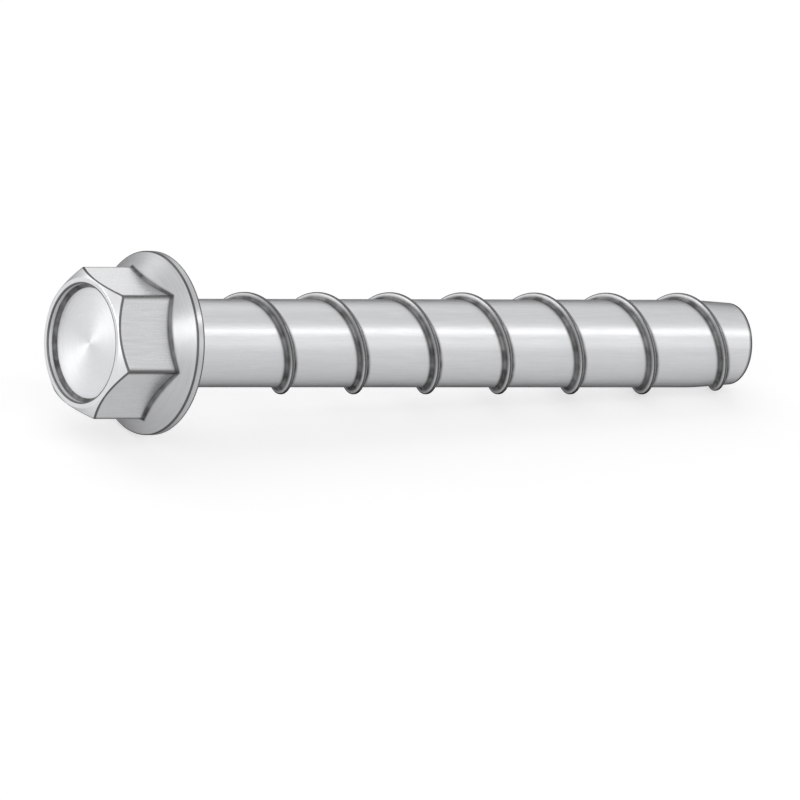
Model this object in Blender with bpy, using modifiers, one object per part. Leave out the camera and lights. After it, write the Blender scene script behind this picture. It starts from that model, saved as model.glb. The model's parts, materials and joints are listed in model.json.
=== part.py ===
"""A hex flange concrete screw, lying on a flat surface as it comes to rest. Metres, +Z up.

The screw is modelled along its own Z axis, with the bearing face under the flange at z = 0, the shank
above it and the head below it. It is then laid on its side: the rim of the flange and a crest of the
thread touch the surface.
"""

import math

import bmesh
import bpy
from mathutils import Matrix, Vector

MM = 0.001

# Shank and tip, measured from the bearing face
SHANK_D = 9.5 * MM
SHANK_LENGTH = 76.2 * MM
TIP_D = 8.85 * MM
TIP_TAPER = 5.0 * MM
TIP_EDGE_RADIUS = 0.3 * MM
NECK_FILLET = 0.5 * MM

# Thread: one right-hand ridge that rises out of the shank and sinks back into it
THREAD_D = 11.0 * MM
THREAD_PITCH = 9.55 * MM
THREAD_START = 9.0 * MM
THREAD_END_GAP = 0.8 * MM
THREAD_START_ANGLE = math.radians(45)
THREAD_RUN_OUT = math.radians(100)
THREAD_ROOT_WIDTH = 0.8 * MM
THREAD_CREST_WIDTH = 0.25 * MM

# Head, measured from the bearing face
HEAD_HEIGHT = 9.3 * MM
HEX_ACROSS_FLATS = 14.29 * MM
TOP_LAND_D = 14.0 * MM
CHAMFER_ANGLE = math.radians(38)
RECESS_D = 12.7 * MM
RECESS_DEPTH = 1.0 * MM
RECESS_CORNER_RADIUS = 0.35 * MM
RECESS_RIM_RADIUS = 0.12 * MM

# Flange: a flat underside, a low rim and a conical top
FLANGE_D = 19.8 * MM
FLANGE_RIM = 0.95 * MM
FLANGE_SLOPE = math.radians(32)
FLANGE_EDGE_RADIUS = 0.15 * MM

# How finely round forms are divided
TURN_STEPS = 48
THREAD_STEPS_PER_TURN = 48
ARC_STEPS = 3
FILLET_STEPS = 4

# How far construction forms run past each other, so that no two faces lie in one plane
THREAD_ROOT_DEPTH = 0.15 * MM
FORM_OVERLAP = 1.0 * MM
HEX_CORE_SHARE = 0.8
THREAD_END_SCALE = 0.1

MERGE_DISTANCE = 0.005 * MM
SHARP_ANGLE = math.radians(25)

ZINC_GREY = (0.62, 0.63, 0.65, 1.0)
ZINC_ROUGHNESS = 0.35


def clear_scene():
    """Removes whatever objects the open scene holds."""
    for obj in list(bpy.data.objects):
        bpy.data.objects.remove(obj)


def new_collection(name):
    """Makes a collection in the scene."""
    collection = bpy.data.collections.new(name)
    bpy.context.scene.collection.children.link(collection)
    return collection


def zinc_steel():
    """Plain zinc-plated steel."""
    material = bpy.data.materials.new("zinc_plated_steel")
    material.use_nodes = True
    shader = material.node_tree.nodes["Principled BSDF"]
    shader.inputs["Base Color"].default_value = ZINC_GREY
    shader.inputs["Metallic"].default_value = 1.0
    shader.inputs["Roughness"].default_value = ZINC_ROUGHNESS
    return material


def arc(centre, radius, start, end, steps):
    """Points of an arc in the profile plane, (distance from the axis, height), with angles in degrees."""
    points = []
    for step in range(steps + 1):
        angle = math.radians(start + (end - start) * step / steps)
        points.append((centre[0] + radius * math.cos(angle), centre[1] + radius * math.sin(angle)))
    return points


def turned(name, profile, collection):
    """Turns a profile about the Z axis, with the middle of a facet, not a corner, on +X."""
    half_facet = math.pi / TURN_STEPS
    points = [(r * math.cos(half_facet), r * math.sin(half_facet), z) for r, z in profile]
    edges = [(i, i + 1) for i in range(len(points) - 1)]
    mesh = bpy.data.meshes.new(name)
    mesh.from_pydata(points, edges, [])
    obj = bpy.data.objects.new(name, mesh)
    collection.objects.link(obj)
    turn = obj.modifiers.new("turn", "SCREW")
    turn.axis = "Z"
    turn.steps = TURN_STEPS
    turn.render_steps = TURN_STEPS
    turn.use_merge_vertices = True
    turn.merge_threshold = MERGE_DISTANCE
    return obj


def mark_as_cutter(obj):
    """Shows a construction form as a wire and keeps it out of renders."""
    obj.hide_render = True
    obj.display_type = "WIRE"


def combine(target, other, operation):
    """Adds a Boolean between two solids."""
    boolean = target.modifiers.new(other.name, "BOOLEAN")
    boolean.operation = operation
    boolean.solver = "EXACT"
    boolean.object = other


def weld(mesh):
    """Joins the loose caps of a swept mesh to its sides."""
    work = bmesh.new()
    work.from_mesh(mesh)
    bmesh.ops.remove_doubles(work, verts=work.verts, dist=MERGE_DISTANCE)
    work.to_mesh(mesh)
    work.free()


def settle(obj):
    """Replaces an object's modifiers by their result, shaded smooth between its sharp edges."""
    graph = bpy.context.evaluated_depsgraph_get()
    mesh = bpy.data.meshes.new_from_object(obj.evaluated_get(graph))
    obj.modifiers.clear()
    obj.data = mesh
    mesh.shade_smooth()
    mesh.set_sharp_from_angle(angle=SHARP_ANGLE)


def tip_profile():
    """The flat end, its rounded edge and the slight taper, down to the straight shank."""
    radius = TIP_D / 2
    edge_centre = (radius - TIP_EDGE_RADIUS, SHANK_LENGTH - TIP_EDGE_RADIUS)
    return [
        (0, SHANK_LENGTH),
        *arc(edge_centre, TIP_EDGE_RADIUS, 90, 0, ARC_STEPS),
        (SHANK_D / 2, SHANK_LENGTH - TIP_TAPER),
    ]


def flange_top_height(radius):
    """Height below the bearing face of the flange's conical top, at a distance from the axis."""
    return FLANGE_RIM + (FLANGE_D / 2 - radius) * math.tan(FLANGE_SLOPE)


def flange_profile():
    """The neck fillet, the bearing face, the rim, and the conical top, which ends inside the hexagon."""
    rim = FLANGE_D / 2
    edge = FLANGE_EDGE_RADIUS
    core = HEX_CORE_SHARE * HEX_ACROSS_FLATS / 2
    slope = math.degrees(FLANGE_SLOPE)
    cone_edge_drop = edge * math.tan((math.pi / 2 - FLANGE_SLOPE) / 2)
    return [
        *arc((SHANK_D / 2 + NECK_FILLET, NECK_FILLET), NECK_FILLET, 180, 270, FILLET_STEPS),
        *arc((rim - edge, -edge), edge, 90, 0, ARC_STEPS),
        *arc((rim - edge, cone_edge_drop - FLANGE_RIM), edge, 0, slope - 90, ARC_STEPS),
        (core, -flange_top_height(core)),
        (0, -flange_top_height(core)),
    ]


def head_profile():
    """The turned form that the hexagon is cut to: chamfer, narrow top land and shallow round recess."""
    land = TOP_LAND_D / 2
    outside = HEX_ACROSS_FLATS / math.sqrt(3) + FORM_OVERLAP
    recess = RECESS_D / 2
    rim = RECESS_RIM_RADIUS
    corner = RECESS_CORNER_RADIUS
    floor = RECESS_DEPTH - HEAD_HEIGHT
    return [
        (0, 0),
        (outside, 0),
        (outside, (outside - land) * math.tan(CHAMFER_ANGLE) - HEAD_HEIGHT),
        (land, -HEAD_HEIGHT),
        *arc((recess + rim, rim - HEAD_HEIGHT), rim, 270, 180, ARC_STEPS),
        *arc((recess - corner, floor - corner), corner, 0, 90, ARC_STEPS),
        (0, floor),
    ]


def hexagonal_head(cutters):
    """The wrench hexagon, two of its flats square to X, cut to the turned form of the head."""
    base = -FLANGE_RIM / 2
    top = -HEAD_HEIGHT - FORM_OVERLAP
    work = bmesh.new()
    bmesh.ops.create_cone(
        work,
        cap_ends=True,
        segments=6,
        radius1=HEX_ACROSS_FLATS / math.sqrt(3),
        radius2=HEX_ACROSS_FLATS / math.sqrt(3),
        depth=base - top,
        matrix=Matrix.Translation((0, 0, (base + top) / 2)),
    )
    mesh = bpy.data.meshes.new("hexagon")
    work.to_mesh(mesh)
    work.free()
    hexagon = bpy.data.objects.new("hexagon", mesh)
    cutters.objects.link(hexagon)
    form = turned("head_form", head_profile(), cutters)
    form.parent = hexagon
    combine(hexagon, form, "INTERSECT")
    mark_as_cutter(form)
    mark_as_cutter(hexagon)
    return hexagon


def thread_end():
    """Height at which the thread has sunk back into the shank."""
    return SHANK_LENGTH - THREAD_END_GAP


def thread_angle(height):
    """Angle about the axis at which the thread passes a height."""
    return THREAD_START_ANGLE + math.tau * (height - THREAD_START) / THREAD_PITCH


def shank_radius(height):
    """Radius of the shank, which narrows a little towards the tip."""
    into_taper = max(0.0, height - (SHANK_LENGTH - TIP_TAPER))
    return SHANK_D / 2 - (SHANK_D - TIP_D) / 2 * into_taper / TIP_TAPER


def run_out_scale(height):
    """Size of the thread's section, from almost nothing at its two ends to one along its full stretch."""
    run_out_height = THREAD_PITCH * THREAD_RUN_OUT / math.tau
    from_end = min(height - THREAD_START, thread_end() - height)
    share = min(1.0, max(0.0, from_end / run_out_height))
    eased = math.sin(share * math.pi / 2)
    return THREAD_END_SCALE + (1 - THREAD_END_SCALE) * eased


def thread_section():
    """The thread's section, a ridge with sloping sides, with its foot inside the shank."""
    height = (THREAD_D - SHANK_D) / 2 + THREAD_ROOT_DEPTH
    flank = (THREAD_ROOT_WIDTH - THREAD_CREST_WIDTH) / 2 / (height - THREAD_ROOT_DEPTH)
    foot = THREAD_CREST_WIDTH / 2 + flank * height
    crest = THREAD_CREST_WIDTH / 2
    curve = bpy.data.curves.new("thread_section", "CURVE")
    curve.dimensions = "2D"
    spline = curve.splines.new("POLY")
    corners = [(0, foot), (height, crest), (height, -crest), (0, -foot)]
    spline.points.add(len(corners) - 1)
    for point, corner in zip(spline.points, corners):
        point.co = (*corner, 0, 1)
    spline.use_cyclic_u = True
    return bpy.data.objects.new("thread_section", curve)


def thread_path():
    """A helix just under the shank's surface, whose points carry the size of the section."""
    rise = THREAD_PITCH / THREAD_STEPS_PER_TURN
    curve = bpy.data.curves.new("thread_path", "CURVE")
    curve.dimensions = "3D"
    curve.twist_mode = "Z_UP"
    curve.use_fill_caps = True
    spline = curve.splines.new("POLY")
    spline.points.add(round((thread_end() - THREAD_START) / rise))
    for step, point in enumerate(spline.points):
        height = THREAD_START + step * rise
        radius = shank_radius(height) - THREAD_ROOT_DEPTH
        angle = thread_angle(height)
        point.co = (radius * math.cos(angle), radius * math.sin(angle), height, 1)
        point.radius = run_out_scale(height)
    return bpy.data.objects.new("thread_path", curve)


def thread_ridge(cutters):
    """The thread as a closed solid, swept along its path."""
    section = thread_section()
    path = thread_path()
    cutters.objects.link(section)
    cutters.objects.link(path)
    path.data.bevel_mode = "OBJECT"
    path.data.bevel_object = section
    graph = bpy.context.evaluated_depsgraph_get()
    mesh = bpy.data.meshes.new_from_object(path.evaluated_get(graph))
    weld(mesh)
    ridge = bpy.data.objects.new("thread_ridge", mesh)
    ridge.matrix_world = path.matrix_world
    cutters.objects.link(ridge)
    mark_as_cutter(ridge)
    bpy.data.objects.remove(path)
    bpy.data.objects.remove(section)
    return ridge


def last_contact():
    """Height of the last full crest that faces +X, the side that the screw lies on."""
    full_end = thread_end() - THREAD_PITCH * THREAD_RUN_OUT / math.tau
    full_end = min(full_end, SHANK_LENGTH - TIP_TAPER)
    past_x = thread_angle(full_end) % math.tau
    return full_end - THREAD_PITCH * past_x / math.tau


def lay_down(screw):
    """Lays the screw on its +X side, tip towards world +X, resting on z = 0 and centred over it."""
    rim = FLANGE_D / 2 * math.cos(math.pi / TURN_STEPS)
    dip = math.atan((rim - THREAD_D / 2) / last_contact())
    screw.rotation_euler = (0, math.pi / 2 + dip, 0)
    bpy.context.view_layer.update()
    corners = [screw.matrix_world @ vertex.co for vertex in screw.data.vertices]
    low = Vector([min(corner[axis] for corner in corners) for axis in range(3)])
    high = Vector([max(corner[axis] for corner in corners) for axis in range(3)])
    middle = (low + high) / 2
    screw.location = (-middle.x, -middle.y, -low.z)
    bpy.context.view_layer.update()


def build():
    """Builds the screw."""
    clear_scene()
    parts = new_collection("concrete_screw")
    cutters = new_collection("cutters")
    screw = turned("concrete_screw", tip_profile() + flange_profile(), parts)
    for piece in (hexagonal_head(cutters), thread_ridge(cutters)):
        combine(screw, piece, "UNION")
        piece.parent = screw
    settle(screw)
    screw.data.materials.append(zinc_steel())
    lay_down(screw)


build()
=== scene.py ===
"""Looks of the concrete screw: its fine mesh, its zinc plating, and the studio it lies in.

The mesh is built along the screw's own axis, in millimetres, as in the CAD source: the bearing face under
the flange is at z = 0, the shank is above it and the head is below it. The screw is then laid where the CAD
has it.
"""

import math

import bpy
import numpy as np
from mathutils import Matrix, Vector
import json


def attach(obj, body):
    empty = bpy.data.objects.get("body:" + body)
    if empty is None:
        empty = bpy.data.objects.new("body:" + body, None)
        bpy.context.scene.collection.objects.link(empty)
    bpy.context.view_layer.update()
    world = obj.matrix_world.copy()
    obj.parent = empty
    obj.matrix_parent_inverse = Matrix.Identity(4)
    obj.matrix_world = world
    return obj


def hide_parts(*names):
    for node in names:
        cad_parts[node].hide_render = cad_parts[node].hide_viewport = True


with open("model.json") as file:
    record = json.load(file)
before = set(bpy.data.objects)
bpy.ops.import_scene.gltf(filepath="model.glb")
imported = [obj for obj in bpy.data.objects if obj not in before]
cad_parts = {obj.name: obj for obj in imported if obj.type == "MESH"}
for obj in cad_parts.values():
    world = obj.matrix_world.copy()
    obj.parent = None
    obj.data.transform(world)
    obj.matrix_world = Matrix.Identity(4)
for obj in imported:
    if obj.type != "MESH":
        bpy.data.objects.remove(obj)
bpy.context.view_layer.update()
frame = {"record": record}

MM = 0.001
HEXAGON_SIXTH = math.radians(60)

# Sizes of the CAD source, in millimetres
SHANK_R = 9.5 / 2
SHANK_LENGTH = 76.2
TIP_R = 8.85 / 2
TIP_TAPER = 5.0
TIP_EDGE_RADIUS = 0.3
NECK_FILLET = 0.5
THREAD_R = 11.0 / 2
THREAD_HEIGHT = THREAD_R - SHANK_R
THREAD_PITCH = 9.55
THREAD_START = 9.0
THREAD_END_GAP = 0.8
THREAD_END = SHANK_LENGTH - THREAD_END_GAP
THREAD_START_ANGLE = math.radians(45)
THREAD_RUN_OUT_DEGREES = 100
THREAD_RUN_OUT = THREAD_PITCH * THREAD_RUN_OUT_DEGREES / 360
THREAD_ROOT_WIDTH = 0.8
THREAD_CREST_WIDTH = 0.25
THREAD_END_SCALE = 0.1
THREAD_ROOT_DEPTH = 0.15
HEAD_HEIGHT = 9.3
FLAT_R = 14.29 / 2
LAND_R = 14.0 / 2
CHAMFER = math.tan(math.radians(38))
RECESS_R = 12.7 / 2
RECESS_DEPTH = 1.0
RECESS_FLOOR = RECESS_DEPTH - HEAD_HEIGHT
RECESS_CORNER_RADIUS = 0.35
RECESS_RIM_RADIUS = 0.12
FLANGE_R = 19.8 / 2
FLANGE_RIM = 0.95
FLANGE_SLOPE = math.tan(math.radians(32))
FLANGE_EDGE_RADIUS = 0.15

# The CAD's round forms have flat sides, and the true rounds here stay just inside them
FLANGE_INSET = 0.025
TIP_INSET = 0.01
TRUE_FLANGE_R = FLANGE_R - FLANGE_INSET
TRUE_TIP_R = TIP_R - TIP_INSET
TRUE_LENGTH = SHANK_LENGTH - TIP_INSET

# Roundings and soft forms that the CAD leaves plain
HEX_CORNER_RADIUS = 0.25
LAND_EDGE_RADIUS = 0.15
CHAMFER_EDGE_RADIUS = 0.2
HEX_FOOT_RADIUS = 0.25
THREAD_FOOT_RADIUS = 0.3
THREAD_CREST_RADIUS = 0.1
TAPER_BLEND = 1.0
DISH_DEPTH = 0.1
DISH_BEND_RADIUS = 8.0
DISH_BEND_R = RECESS_R * 0.55
DISH_BEND_DEPTH = DISH_DEPTH * 0.7

# The thread's section keeps this share of its width where it runs out
THREAD_END_WIDTH = 0.35

# Wear along the hexagon's upright corners is full at this many degrees from them, and gone at the next
CORNER_WEAR_FULL = 1.2
CORNER_WEAR_GONE = 2.4

# Columns of the mesh in half a flat of the hexagon, and how they crowd towards its corners
HALF_FLAT_COLUMNS = 15
EVEN_SHARE = 0.08
CROWDING = 1.8

# Lines of the mesh along the axis: the longest gap between them on each stretch, the radius of the first
# ring about a pole, where the threaded stretch begins and ends, how near its lines come to those two ends,
# and the turns of the thread that cover it
HEAD_SPACING = 0.85
TIP_SPACING = 0.8
THREAD_SPACING = 0.75
POLE_R = 0.05
SHANK_MESH_START = 8.0
SHANK_MESH_END = 75.6
SNAP = 0.08
THREAD_TURNS = range(-1, math.ceil((SHANK_MESH_END - THREAD_START) / THREAD_PITCH) + 1)

# How wear and painted shade fade out away from a corner: share of its reach, and strength
FADE = ((0.2, 0.95), (0.45, 0.6), (0.7, 0.2), (1.0, 0.0))

# The most of a straight stretch that a fade or a rounding may take at each of its ends
FADE_LIMIT = 0.48
ROUNDING_LIMIT = 0.45


def from_hexagon_corner(angles):
    """How far each angle about the axis is from the nearest corner of the hexagon."""
    return np.abs((angles % HEXAGON_SIXTH) - HEXAGON_SIXTH / 2)


def column_angles():
    """Angles of the mesh's columns about the axis, closest together at the corners of the hexagon."""
    share = np.arange(-HALF_FLAT_COLUMNS, HALF_FLAT_COLUMNS) / HALF_FLAT_COLUMNS
    size = np.abs(share)
    offset = np.sign(share) * (EVEN_SHARE * size + (1 - EVEN_SHARE) * size**CROWDING)
    corners = HEXAGON_SIXTH * (np.arange(6) + 0.5)
    return (corners[:, None] + HEXAGON_SIXTH / 2 * offset[None, :]).ravel()


ANGLES = column_angles()
COLUMNS = len(ANGLES)


def hexagon_radius(angles):
    """Distance from the axis to the side of the hexagon, whose corners are rounded."""
    half = HEXAGON_SIXTH / 2
    from_corner = from_hexagon_corner(angles)
    centre = (FLAT_R - HEX_CORNER_RADIUS) / math.cos(half)
    side = centre * np.sin(from_corner)
    on_corner = centre * np.cos(from_corner) + np.sqrt(np.maximum(HEX_CORNER_RADIUS**2 - side**2, 0))
    on_flat = FLAT_R / np.cos(half - from_corner)
    touch = math.atan2(HEX_CORNER_RADIUS * math.sin(half), centre + HEX_CORNER_RADIUS * math.cos(half))
    return np.where(from_corner < touch, on_corner, on_flat)


def shank_radius(height):
    """Radius of the shank, which narrows towards the tip after a soft bend."""
    past = np.float64(height) - (SHANK_LENGTH - TIP_TAPER)
    bend = (past + TAPER_BLEND) ** 2 / (4 * TAPER_BLEND)
    into = np.where(past > TAPER_BLEND, past, np.where(past > -TAPER_BLEND, bend, 0.0))
    return SHANK_R - (SHANK_R - TRUE_TIP_R) * into / TIP_TAPER


def unit(vectors):
    """The vectors at length one, and the lengths that they had."""
    lengths = np.maximum(np.linalg.norm(vectors, axis=-1, keepdims=True), 1e-9)
    return vectors / lengths, lengths


def corner(radius=0.0, steps=1, wear=0.0, painted_shade=0.0, reach=0.12):
    """How a corner of a profile is rounded, how worn it is, how dark its painted crease shade is, and how
    far both reach.
    """
    plain = radius == 0 and wear == 0 and painted_shade == 0
    return {"radius": radius, "steps": steps, "wear": wear, "painted_shade": painted_shade, "reach": reach, "plain": plain}


class Profile:
    """Lines of a mesh along a profile, each with its wear, its painted crease shade and the stretch that it
    lies in.
    """

    def __init__(self):
        self.points = []
        self.wear = []
        self.crease_shade = []
        self.stretch = []

    def add(self, point, wear, crease_shade, stretch):
        self.points.append(point)
        self.wear.append(wear)
        self.crease_shade.append(crease_shade)
        self.stretch.append(stretch)

    def straight(self, start, end, before, after, spacing, stretch):
        """Lays lines between two roundings: a few where marks fade out, and the rest evenly between."""
        length = float(np.linalg.norm(end - start, axis=-1).max())
        lines = []
        for marks, far in ((before, False), (after, True)):
            for share, fade in FADE:
                along = share * marks["reach"] / length
                if along < FADE_LIMIT and not marks["plain"]:
                    lines.append((1 - along if far else along, marks["wear"] * fade, marks["painted_shade"] * fade))
        inner = max([share for share, _, _ in lines if share < 0.5], default=0.0)
        outer = min([share for share, _, _ in lines if share > 0.5], default=1.0)
        gaps = max(1, math.ceil((outer - inner) * length / spacing))
        for step in range(1, gaps):
            lines.append((inner + (outer - inner) * step / gaps, 0.0, 0.0))
        for share, wear, painted_shade in sorted(lines):
            self.add(start + (end - start) * share, wear, painted_shade, stretch)


def rounded(corners, points, spacing):
    """Lays lines along a profile with rounded corners.

    corners holds the marks that corner() gives for each corner. points holds the (distance from the axis,
    height) of each corner for each column. spacing is the longest gap between lines.
    """
    profile = Profile()
    profile.add(points[0], 0.0, 0.0, 0)
    start, before = points[0], corners[0]
    for index in range(1, len(points) - 1):
        marks = corners[index]
        back, back_length = unit(points[index - 1] - points[index])
        ahead, ahead_length = unit(points[index + 1] - points[index])
        opening = np.arccos(np.clip((back * ahead).sum(-1, keepdims=True), -1, 1))
        cut = marks["radius"] / np.maximum(np.tan(opening / 2), 1e-6)
        cut = np.minimum(cut, ROUNDING_LIMIT * np.minimum(back_length, ahead_length))
        middle, _ = unit(back + ahead)
        centre = points[index] + middle * cut / np.maximum(np.cos(opening / 2), 1e-6)
        first = points[index] + back * cut
        second = points[index] + ahead * cut
        turn = np.maximum(np.pi - opening, 1e-4)
        profile.straight(start, first, before, marks, spacing, index)
        for step in range(marks["steps"] + 1):
            share = step / marks["steps"]
            spoke = np.sin((1 - share) * turn) * (first - centre) + np.sin(share * turn) * (second - centre)
            profile.add(centre + spoke / np.sin(turn), marks["wear"], marks["painted_shade"], index)
        start, before = second, marks
    last = len(points) - 1
    profile.straight(start, points[last], before, corners[last], spacing, last)
    profile.add(points[last], 0.0, 0.0, last)
    return profile


def turned(corners, spacing):
    """Lines of a profile about the axis, from the (distance from the axis, height, marks) of its corners."""
    rows = [np.stack([np.broadcast_to(r, COLUMNS), np.broadcast_to(z, COLUMNS)], -1) for r, z, _ in corners]
    return rounded([marks for _, _, marks in corners], np.array(rows, float), spacing)


# The stretch of the head's profile that runs down the flats of the hexagon
HEX_STRETCH = 6


def head_lines():
    """The profile from the middle of the recess over the head and flange to the threaded stretch."""
    side = hexagon_radius(ANGLES)
    chamfer_edge = -HEAD_HEIGHT + (side - LAND_R) * CHAMFER
    flange_top = FLANGE_RIM + (FLANGE_R - side) * FLANGE_SLOPE
    # The recess corner, the foot of the hexagon and the neck carry painted shade, dark like a shadowed
    # crease
    return turned([
        (POLE_R, RECESS_FLOOR + DISH_DEPTH, corner()),
        (DISH_BEND_R, RECESS_FLOOR + DISH_BEND_DEPTH, corner(DISH_BEND_RADIUS, steps=4)),
        (RECESS_R, RECESS_FLOOR, corner(RECESS_CORNER_RADIUS, steps=5, painted_shade=1.0, reach=0.15)),
        (RECESS_R, -HEAD_HEIGHT, corner(RECESS_RIM_RADIUS, steps=4, wear=1.0, reach=0.12)),
        (LAND_R, -HEAD_HEIGHT, corner(LAND_EDGE_RADIUS, steps=3)),
        (side, chamfer_edge, corner(CHAMFER_EDGE_RADIUS, steps=4, wear=1.0, reach=0.16)),
        (side, -flange_top, corner(HEX_FOOT_RADIUS, steps=5, painted_shade=1.0, reach=0.4)),
        (TRUE_FLANGE_R, -FLANGE_RIM, corner(FLANGE_EDGE_RADIUS, steps=4, wear=1.0, reach=0.14)),
        (TRUE_FLANGE_R, 0, corner(FLANGE_EDGE_RADIUS, steps=4, wear=1.0, reach=0.14)),
        (SHANK_R, 0, corner(NECK_FILLET, steps=6, painted_shade=0.8, reach=0.6)),
        (SHANK_R, SHANK_MESH_START, corner()),
    ], HEAD_SPACING)


def tip_lines():
    """The profile from the end of the threaded stretch round the edge of the tip to its middle."""
    return turned([
        (shank_radius(SHANK_MESH_END), SHANK_MESH_END, corner()),
        (TRUE_TIP_R, TRUE_LENGTH, corner(TIP_EDGE_RADIUS, steps=6, wear=1.0, reach=0.3)),
        (POLE_R, TRUE_LENGTH, corner()),
    ], TIP_SPACING)


def thread_section():
    """The thread's section over one pitch: offsets along the axis, heights, wear and painted shade in the
    roots.
    """
    lead = math.atan2(THREAD_PITCH, math.pi * (2 * SHANK_R + THREAD_HEIGHT))
    foot = THREAD_ROOT_WIDTH / 2 / math.cos(lead)
    crest = THREAD_CREST_WIDTH / 2 / math.cos(lead)
    half = THREAD_PITCH / 2
    points = [(-half, 0), (-foot, 0), (-crest, THREAD_HEIGHT), (crest, THREAD_HEIGHT), (foot, 0), (half, 0)]
    # The thread's feet carry painted shade, dark like a shadowed crease
    inner = corner(THREAD_FOOT_RADIUS, steps=4, painted_shade=1.0, reach=0.45)
    outer = corner(THREAD_CREST_RADIUS, steps=3, wear=1.0, reach=0.12)
    marks = [corner(), inner, outer, outer, inner, corner()]
    profile = rounded(marks, np.array(points, float)[:, None, :], THREAD_SPACING)
    points = np.array(profile.points)[:, 0, :]
    return points[:, 0], points[:, 1], np.array(profile.wear), np.array(profile.crease_shade)


def corner_wear():
    """Wear along the upright corners of the hexagon, for each column."""
    from_corner = np.degrees(from_hexagon_corner(ANGLES))
    return np.clip((CORNER_WEAR_GONE - from_corner) / (CORNER_WEAR_GONE - CORNER_WEAR_FULL), 0, 1)


def thread_scale(height):
    """Size of the thread's section, from almost nothing at its two ends to one along its full stretch."""
    if not THREAD_START <= height <= THREAD_END:
        return 0.0
    share = min(min(height - THREAD_START, THREAD_END - height) / THREAD_RUN_OUT, 1)
    return THREAD_END_SCALE + (1 - THREAD_END_SCALE) * math.sin(share * math.pi / 2)


def thread_rise(scale):
    """How far the crest of a scaled section stands out of the shank, as a share of its full height."""
    rise = (THREAD_HEIGHT + THREAD_ROOT_DEPTH) * scale - THREAD_ROOT_DEPTH
    return max(rise, 0.0) / THREAD_HEIGHT


class ScrewMesh:
    """The vertices and faces of the screw, in its own millimetres."""

    def __init__(self):
        self.points = []
        self.wear = []
        self.crease_shade = []
        self.faces = []
        self.zones = []

    def point(self, radius, angle, height, wear, crease_shade):
        self.points.append((radius * math.cos(angle), radius * math.sin(angle), height))
        self.wear.append(wear)
        self.crease_shade.append(crease_shade)
        return len(self.points) - 1

    def face(self, corners, zone):
        """Adds a face of the corners that differ from each other."""
        distinct = list(dict.fromkeys(corners))
        if len(distinct) > 2:
            self.faces.append(distinct)
            self.zones.append(zone)

    def ring(self, radii, heights, wear, crease_shade):
        """Adds one vertex for each column."""
        values = [np.broadcast_to(value, COLUMNS) for value in (radii, heights, wear, crease_shade)]
        return [
            self.point(float(r), angle, float(z), float(w), float(c))
            for r, z, w, c, angle in zip(*values, ANGLES)
        ]

    def bridge(self, lower, upper, zone_of):
        """Joins two rings by a band of faces."""
        for column in range(COLUMNS):
            after = (column + 1) % COLUMNS
            corners = [lower[column], lower[after], upper[after], upper[column]]
            self.face(corners, zone_of(corners))


# The surfaces of the screw that have a material of their own, with their own grain and roughness, and greys
# set lighter or darker as painted light and shade
RECESS, LAND, FLATS, FLANGE, SHANK, TIP = range(6)

# How far past its edge each of the head's surfaces still takes in faces, for the dish and the roundings
RECESS_MARGIN = 0.2
BEARING_MARGIN = 0.02
NECK_MARGIN = 0.2
FLANGE_MARGIN = 0.06
LAND_MARGIN = 0.12


def head_zone(mesh):
    """Says which surface of the head a face belongs to, from where its corners are."""

    def zone(corners):
        points = np.array([mesh.points[number] for number in corners])
        radius = np.hypot(points[:, 0], points[:, 1]).mean()
        height = points[:, 2].mean()
        land_height = -HEAD_HEIGHT + max(radius - LAND_R, 0) * CHAMFER
        flange_height = -FLANGE_RIM - (FLANGE_R - radius) * FLANGE_SLOPE
        if height < RECESS_FLOOR + RECESS_MARGIN and radius < RECESS_R + RECESS_RIM_RADIUS / 2:
            return RECESS
        if height > BEARING_MARGIN or (height > -NECK_MARGIN and radius < SHANK_R + NECK_FILLET):
            return SHANK
        if height > flange_height - FLANGE_MARGIN:
            return FLANGE
        if height < land_height + LAND_MARGIN:
            return LAND
        return FLATS

    return zone


def add_head(mesh):
    """Adds the head, the flange and the plain shank next to it, and gives the ring where they end."""
    profile = head_lines()
    zone_of = head_zone(mesh)
    pole = mesh.point(0, 0, RECESS_FLOOR + DISH_DEPTH, 0, 0)
    ring = [pole] * COLUMNS
    for points, wear, crease_shade, stretch in zip(profile.points, profile.wear, profile.crease_shade, profile.stretch):
        if stretch == HEX_STRETCH:
            wear = np.maximum(wear, corner_wear())
        following = mesh.ring(points[:, 0], points[:, 1], wear, crease_shade)
        mesh.bridge(ring, following, zone_of)
        ring = following
    return ring


def add_threaded_stretch(mesh, start_ring):
    """Adds the shank with its thread, whose lines follow the helix, and gives the ring where it ends."""
    offsets, heights, wears, crease_shades = thread_section()
    per_turn = len(offsets) - 1
    end_ring = mesh.ring(shank_radius(SHANK_MESH_END), SHANK_MESH_END, 0, 0)
    rows = []
    for turn in THREAD_TURNS:
        for line in range(per_turn):
            on_thread = heights[line] > 0 or crease_shades[line] > 0
            row = []
            for column, angle in enumerate(ANGLES):
                centre = THREAD_START + THREAD_PITCH * ((angle - THREAD_START_ANGLE) / math.tau + turn)
                scale = thread_scale(centre)
                rise = thread_rise(scale)
                height = centre + offsets[line] * (max(scale, THREAD_END_WIDTH) if on_thread else 1)
                if height < SHANK_MESH_START + SNAP:
                    row.append(start_ring[column])
                elif height > SHANK_MESH_END - SNAP:
                    row.append(end_ring[column])
                else:
                    radius = float(shank_radius(height)) + heights[line] * rise
                    row.append(mesh.point(radius, angle, height, wears[line] * rise, crease_shades[line] * rise))
            rows.append(row)
    for line, row in enumerate(rows):
        beyond = line + per_turn
        row.append(rows[beyond][0] if beyond < len(rows) else end_ring[0])
    for lower, upper in zip(rows, rows[1:]):
        for column in range(COLUMNS):
            mesh.face([lower[column], lower[column + 1], upper[column + 1], upper[column]], SHANK)
    return end_ring


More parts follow.
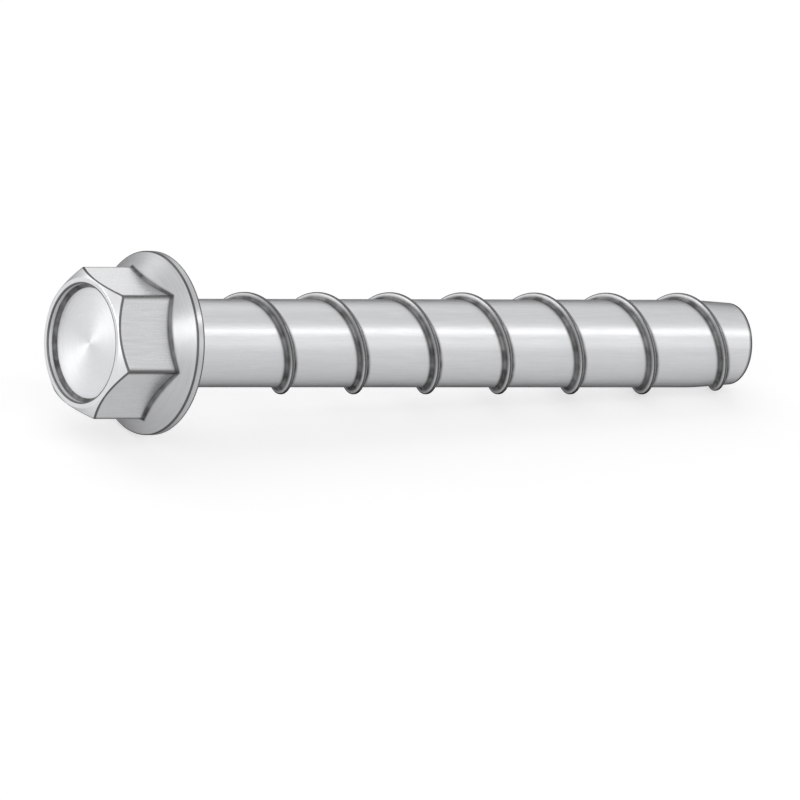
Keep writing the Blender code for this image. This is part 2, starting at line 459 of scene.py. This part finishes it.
def add_tip(mesh, ring):
    """Adds the tip beyond the threaded stretch."""
    profile = tip_lines()
    lines = list(zip(profile.points, profile.wear, profile.crease_shade))
    for points, wear, crease_shade in lines[1:]:
        following = mesh.ring(points[:, 0], points[:, 1], wear, crease_shade)
        mesh.bridge(ring, following, lambda corners: TIP)
        ring = following
    pole = mesh.point(0, 0, TRUE_LENGTH, 0, 0)
    mesh.bridge(ring, [pole] * COLUMNS, lambda corners: TIP)


def screw_mesh():
    """Builds the whole screw in its own millimetres."""
    mesh = ScrewMesh()
    start_ring = add_head(mesh)
    end_ring = add_threaded_stretch(mesh, start_ring)
    add_tip(mesh, end_ring)
    return mesh


def mount(name):
    """Place and axis of one of the record's mounts."""
    for entry in frame["record"]["mounts"]:
        if entry["name"] == name:
            return Vector(entry["pos_m"]), Vector(entry["axis"]).normalized()
    raise KeyError(name)


# The screw's place in the frame: its axis from head to tip, and the middle of its bearing face
FACE_POINT, AXIS = mount("bearing_face")
FLAT_POINT, UPWARD = mount("wrench_flat")
SIDEWAYS = Vector((0, 1, 0))
ON_AXIS = FLAT_POINT - UPWARD * FLAT_R * MM
ORIGIN = ON_AXIS + AXIS * (FACE_POINT - ON_AXIS).dot(AXIS)


def lying():
    """From the screw's own millimetres to its place in the frame."""
    turn = Matrix((-UPWARD, SIDEWAYS, AXIS)).transposed().to_4x4()
    return Matrix.Translation(ORIGIN) @ turn @ Matrix.Scale(MM, 4)


def add_numbers(mesh, name, values):
    """Stores a number for each vertex."""
    layer = mesh.attributes.new(name, "FLOAT", "POINT")
    layer.data.foreach_set("value", np.array(values, np.float32))


def add_vectors(mesh, name, values):
    """Stores a vector for each vertex."""
    layer = mesh.attributes.new(name, "FLOAT_VECTOR", "POINT")
    layer.data.foreach_set("vector", values.astype(np.float32).ravel())


def screw_piece(materials):
    """The screw as one piece of the scene, with what its materials read at each vertex.

    lay is the place in the screw's own millimetres. radial is the direction away from the axis, along which
    the turned recess spreads its reflections.
    """
    shape = screw_mesh()
    points = np.array(shape.points)
    mesh = bpy.data.meshes.new("screw")
    mesh.from_pydata(points.tolist(), [], shape.faces)
    add_vectors(mesh, "lay", points)
    add_numbers(mesh, "wear", shape.wear)
    # The painted shade of the creases, for the materials to read
    add_numbers(mesh, "crease_shade", shape.crease_shade)
    turn = np.array(lying().to_3x3()) / MM
    radial, _ = unit((points * (1, 1, 0)) @ turn.T)
    add_vectors(mesh, "radial", radial)
    mesh.transform(lying())
    for material in materials:
        mesh.materials.append(material)
    mesh.polygons.foreach_set("material_index", shape.zones)
    mesh.shade_smooth()
    mesh.update()
    piece = bpy.data.objects.new("screw", mesh)
    bpy.context.scene.collection.objects.link(piece)
    return piece


class Nodes:
    """Short calls for building a node tree."""

    def __init__(self, tree):
        self.tree = tree
        tree.nodes.clear()

    def put(self, value, socket):
        """Links a node's output to a socket, or sets the socket to a plain value."""
        if isinstance(value, bpy.types.NodeSocket):
            self.tree.links.new(value, socket)
        else:
            socket.default_value = value

    def add(self, kind, inputs=None, **settings):
        node = self.tree.nodes.new(kind)
        for name, value in settings.items():
            setattr(node, name, value)
        for name, value in (inputs or {}).items():
            self.put(value, node.inputs[name])
        return node

    def math(self, operation, *values, clamp=False):
        inputs = dict(enumerate(values))
        return self.add("ShaderNodeMath", inputs, operation=operation, use_clamp=clamp).outputs[0]

    def times(self, value, factor):
        return self.math("MULTIPLY", value, factor)

    def attribute(self, name, output="Fac"):
        return self.add("ShaderNodeAttribute", attribute_name=name).outputs[output]

    def vector(self, x, y, z):
        return self.add("ShaderNodeCombineXYZ", {0: x, 1: y, 2: z}).outputs[0]

    def blend(self, share, first, second):
        """Mixes two colours, whose sockets on the Mix node are the inputs 6 and 7 and the output 2."""
        node = self.add("ShaderNodeMix", data_type="RGBA")
        self.put(share, node.inputs[0])
        self.put(first, node.inputs[6])
        self.put(second, node.inputs[7])
        return node.outputs[2]

    def ramp(self, value, low, high, new_low=0.0, new_high=1.0):
        values = {"Value": value, "From Min": low, "From Max": high, "To Min": new_low, "To Max": new_high}
        return self.add("ShaderNodeMapRange", values).outputs[0]

    def noise(self, vector, scale, detail, roughness=0.5):
        values = {"Vector": vector, "Scale": scale, "Detail": detail, "Roughness": roughness}
        return self.add("ShaderNodeTexNoise", values).outputs["Fac"]

    def surface(self, shader, output="ShaderNodeOutputMaterial"):
        self.put(shader.outputs[0], self.add(output).inputs["Surface"])


def new_nodes(holder):
    """Short calls for the node tree of a material or a world."""
    holder.use_nodes = True
    return Nodes(holder.node_tree)


# The zinc plating: how far its grey strays each way, how deep its relief is in millimetres, how slowly its
# marks change along the axis or round it, the grey of the painted shade in the creases, and the grey of worn
# edges
CONTRAST = 0.05
RELIEF = 0.006
AXIAL_SQUEEZE = 0.05
RING_BEND = 0.35
PAINTED_SHADE_GREY = 0.05
WORN_GREY = 0.06


def grey(value, tint=0.0):
    """A linear grey, with a hint of blue where the tint is over nought and of brown below it."""
    return (value * (1 - tint), value, value * (1 + tint), 1.0)


def grain_coordinates(nodes, lay, grain):
    """Coordinates that stretch a noise into marks along the axis, or into rings about it."""
    x, y, z = nodes.add("ShaderNodeSeparateXYZ", {0: lay}).outputs
    if grain == "axial":
        return nodes.vector(x, y, nodes.times(z, AXIAL_SQUEEZE))
    square = nodes.math("ADD", nodes.math("POWER", x, 2.0), nodes.math("POWER", y, 2.0))
    radius = nodes.math("SQRT", square)
    angle = nodes.math("ARCTAN2", y, x)
    return nodes.vector(radius, z, nodes.times(angle, RING_BEND))


def zinc(name, grain, base, roughness=0.3, anisotropy=0.0, edge_tint=1.0):
    """Zinc plating over forged or drawn steel, whose marks run along the axis or round it.

    base is its grey. edge_tint is how bright it stays where it is seen edge-on.
    """
    material = bpy.data.materials.new(name)
    nodes = new_nodes(material)
    lay = nodes.attribute("lay", "Vector")
    marks = nodes.noise(grain_coordinates(nodes, lay, grain), scale=4.5, detail=4.0, roughness=0.6)
    speckle = nodes.noise(lay, scale=9.0, detail=3.0, roughness=0.65)
    cloud = nodes.noise(lay, scale=0.35, detail=2.0)
    # Painted shade in the creases: the crease mark, broken into patches, darkens the plating almost to black
    # and roughens it
    patches = nodes.noise(lay, scale=0.6, detail=2.0)
    painted_shade_cover = nodes.ramp(patches, 0.35, 0.65, new_low=0.75)
    painted_shade = nodes.math("MULTIPLY", nodes.attribute("crease_shade"), painted_shade_cover, clamp=True)
    worn_cover = nodes.ramp(speckle, 0.3, 0.6, new_low=0.88)
    worn = nodes.math("MULTIPLY", nodes.attribute("wear"), worn_cover, clamp=True)

    tone = nodes.math("ADD", nodes.times(marks, 0.55), nodes.times(speckle, 0.45))
    tone = nodes.ramp(tone, 0.32, 0.68)
    colour = nodes.blend(tone, grey(base - CONTRAST, 0.012), grey(base + CONTRAST, 0.006))
    cool = nodes.times(nodes.ramp(cloud, 0.4, 0.65), 0.35)
    colour = nodes.blend(cool, colour, grey(base - 0.02, 0.03))
    # Painted shade darkens the creases
    colour = nodes.blend(nodes.times(painted_shade, 0.93), colour, grey(PAINTED_SHADE_GREY, -0.02))
    colour = nodes.blend(nodes.times(worn, 0.94), colour, grey(WORN_GREY))

    rough = nodes.math("ADD", nodes.times(tone, 0.06), nodes.times(cloud, 0.06))
    rough = nodes.math("ADD", rough, roughness - 0.06)
    rough = nodes.math("ADD", rough, nodes.times(painted_shade, 0.25), clamp=True)
    rough = nodes.math("SUBTRACT", rough, nodes.times(worn, 0.08), clamp=True)

    relief = nodes.math("ADD", nodes.times(marks, 0.8), nodes.times(speckle, 0.4))
    bump = nodes.add("ShaderNodeBump", {"Height": relief, "Strength": 1.0, "Distance": RELIEF * MM})
    values = {"Base Color": colour, "Metallic": 1.0, "Roughness": rough, "Normal": bump.outputs[0]}
    values["Specular Tint"] = grey(edge_tint)
    if anisotropy:
        values["Anisotropic"] = anisotropy
        values["Tangent"] = nodes.attribute("radial", "Vector")
    nodes.surface(nodes.add("ShaderNodeBsdfPrincipled", values))
    return material


def zinc_surfaces():
    """The zinc plating of each surface, in the order RECESS, LAND, FLATS, FLANGE, SHANK, TIP, with greys set
    as painted light and shade: lighter on the recess and land, darker on the flats and flange.
    """
    # Painted light and shade: the base greys below differ by surface, lighter on the recess and land and
    # darker on the flats and flange
    return [
        zinc("zinc_recess", "ring", base=0.70, roughness=0.42, anisotropy=0.65),
        zinc("zinc_land", "ring", base=0.705, edge_tint=0.2),
        zinc("zinc_flats", "axial", base=0.52, roughness=0.26),
        zinc("zinc_flange", "ring", base=0.475, edge_tint=0.3),
        zinc("zinc_shank", "axial", base=0.6, roughness=0.35, edge_tint=0.0),
        zinc("zinc_tip", "ring", base=0.58, roughness=0.36, edge_tint=0.0),
    ]


# The photograph's view is isometric. The axis is turned 54.7 degrees from the line of sight and lies level
# in the picture, and one corner of the hexagon points 7.4 degrees past straight up
SPIN = math.radians(67.4)
NEAR = UPWARD * math.cos(SPIN) - SIDEWAYS * math.sin(SPIN)
PICTURE_UP = UPWARD * math.sin(SPIN) + SIDEWAYS * math.cos(SPIN)
TO_CAMERA = NEAR * math.sqrt(2 / 3) - AXIS * math.sqrt(1 / 3)
PICTURE_RIGHT = AXIS * math.sqrt(2 / 3) + NEAR * math.sqrt(1 / 3)

# The camera is far off with a long lens, so its picture is nearly flat. PIXEL is the size of a pixel at the
# point that it looks at. TARGET gives that point, in pixels from the middle of the bearing face and in
# metres towards the camera
PICTURE = 800
PIXEL = 0.1077 * MM
LENS = 1500.0
SENSOR = 36.0
CLIP_START = 0.1
CLIP_END = 20.0
TARGET_RIGHT = 246.0
TARGET_DOWN = 56.7
TARGET_NEARER = -0.020


def add_camera():
    """The camera at the photograph's viewing angle."""
    data = bpy.data.cameras.new("camera")
    data.lens = LENS
    data.sensor_width = SENSOR
    data.clip_start = CLIP_START
    data.clip_end = CLIP_END
    distance = PICTURE * PIXEL * LENS / SENSOR
    target = ORIGIN + PICTURE_RIGHT * TARGET_RIGHT * PIXEL - PICTURE_UP * TARGET_DOWN * PIXEL
    target = target + TO_CAMERA * TARGET_NEARER
    camera = bpy.data.objects.new("camera", data)
    turn = Matrix((PICTURE_RIGHT, PICTURE_UP, TO_CAMERA)).transposed().to_4x4()
    camera.matrix_world = Matrix.Translation(target + TO_CAMERA * distance) @ turn
    bpy.context.scene.collection.objects.link(camera)
    bpy.context.scene.camera = camera


# What the lamps face: a point near the middle of the shank, and the middle of the head, at their millimetres
# along the axis
SHANK_AIM = 33.0
HEAD_AIM = -5.0
SHANK_MIDDLE = ORIGIN + AXIS * SHANK_AIM * MM
HEAD_MIDDLE = ORIGIN + AXIS * HEAD_AIM * MM


def direction(near, up, axis):
    """A direction from its parts towards the near side, up the picture and along the screw."""
    return (NEAR * near + PICTURE_UP * up + AXIS * axis).normalized()


def sky(elevation, azimuth):
    """A direction from its degrees above the floor and its degrees round from +X."""
    high, round_x = math.radians(elevation), math.radians(azimuth)
    flat = math.cos(high)
    return Vector((flat * math.cos(round_x), flat * math.sin(round_x), math.sin(high)))


def level(towards):
    """The level direction square to another."""
    return Vector((0, 0, 1)).cross(towards).normalized()


def add_softbox(name, target, towards, distance, along, size, power):
    """A rectangular soft light that faces a target, with its width laid along a direction.

    distance and size, its width and height, are in metres. power is in watts.
    """
    data = bpy.data.lights.new(name, "AREA")
    data.shape = "RECTANGLE"
    data.size, data.size_y = size
    data.energy = power
    lamp = bpy.data.objects.new(name, data)
    right = (along - towards * along.dot(towards)).normalized()
    turn = Matrix((right, towards.cross(right), towards)).transposed().to_4x4()
    lamp.matrix_world = Matrix.Translation(target + towards * distance) @ turn
    lamp.visible_camera = False
    bpy.context.scene.collection.objects.link(lamp)


def add_lights():
    """The soft lights of the studio: two long ones over the shank, two large ones, and two for the head."""
    key, low_key = direction(0.70, 0.42, 0.577), direction(0.816, 0.0, 0.577)
    add_softbox("key", SHANK_MIDDLE, key, 0.6, AXIS, size=(0.5, 0.055), power=0.29)
    add_softbox("low_key", SHANK_MIDDLE, low_key, 0.6, AXIS, size=(0.5, 0.16), power=0.11)
    front, back = sky(25, 225), sky(45, 88)
    add_softbox("front", SHANK_MIDDLE, front, 0.9, level(front), size=(1.3, 1.0), power=2.55)
    add_softbox("back", SHANK_MIDDLE, back, 0.9, level(back), size=(1.25, 0.95), power=2.7)
    flange, recess = direction(0.14, 0.17, -0.976), sky(6, 150)
    add_softbox("flange_light", HEAD_MIDDLE, flange, 0.6, SIDEWAYS, size=(0.1, 0.15), power=0.145)
    add_softbox("recess_light", HEAD_MIDDLE, recess, 0.8, SIDEWAYS, size=(0.3, 0.17), power=1.0)


# Strength of the white surround as a light, the floor's grey, and the glow that lifts the floor to white
# for the camera and in reflections
WORLD_LIGHT = 0.42
FLOOR_COLOUR = 0.6
FLOOR_LIFT = 0.57
FLOOR_HALF_WIDTH = 1.5
WHITE = (1, 1, 1, 1)


def seen_directly(nodes):
    """One for what the camera sees, itself, mirrored or through glass, and nought for plain light."""
    path = nodes.add("ShaderNodeLightPath").outputs
    either = nodes.math("ADD", path["Is Camera Ray"], path["Is Glossy Ray"])
    return nodes.math("ADD", either, path["Is Transmission Ray"], clamp=True)


def add_world():
    """A white surround that gives soft light."""
    world = bpy.data.worlds.new("studio")
    bpy.context.scene.world = world
    nodes = new_nodes(world)
    strength = nodes.ramp(seen_directly(nodes), 0.0, 1.0, new_low=WORLD_LIGHT)
    background = nodes.add("ShaderNodeBackground", {"Color": WHITE, "Strength": strength})
    nodes.surface(background, "ShaderNodeOutputWorld")


def add_floor():
    """A plain floor that shows white to the camera and keeps the screw's shadow."""
    material = bpy.data.materials.new("floor")
    nodes = new_nodes(material)
    plain = nodes.add("ShaderNodeBsdfDiffuse", {"Color": grey(FLOOR_COLOUR)})
    lift = nodes.times(seen_directly(nodes), FLOOR_LIFT)
    glow = nodes.add("ShaderNodeEmission", {"Color": WHITE, "Strength": lift})
    nodes.surface(nodes.add("ShaderNodeAddShader", {0: plain.outputs[0], 1: glow.outputs[0]}))
    half = FLOOR_HALF_WIDTH
    corners = [(-half, -half, 0), (half, -half, 0), (half, half, 0), (-half, half, 0)]
    mesh = bpy.data.meshes.new("floor")
    mesh.from_pydata(corners, [], [(0, 1, 2, 3)])
    mesh.materials.append(material)
    floor = bpy.data.objects.new("floor", mesh)
    bpy.context.scene.collection.objects.link(floor)


add_camera()
add_world()
add_floor()
add_lights()
screw = screw_piece(zinc_surfaces())
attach(screw, "root")
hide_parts("concrete_screw")

bpy.context.scene.view_settings.view_transform = "Standard"
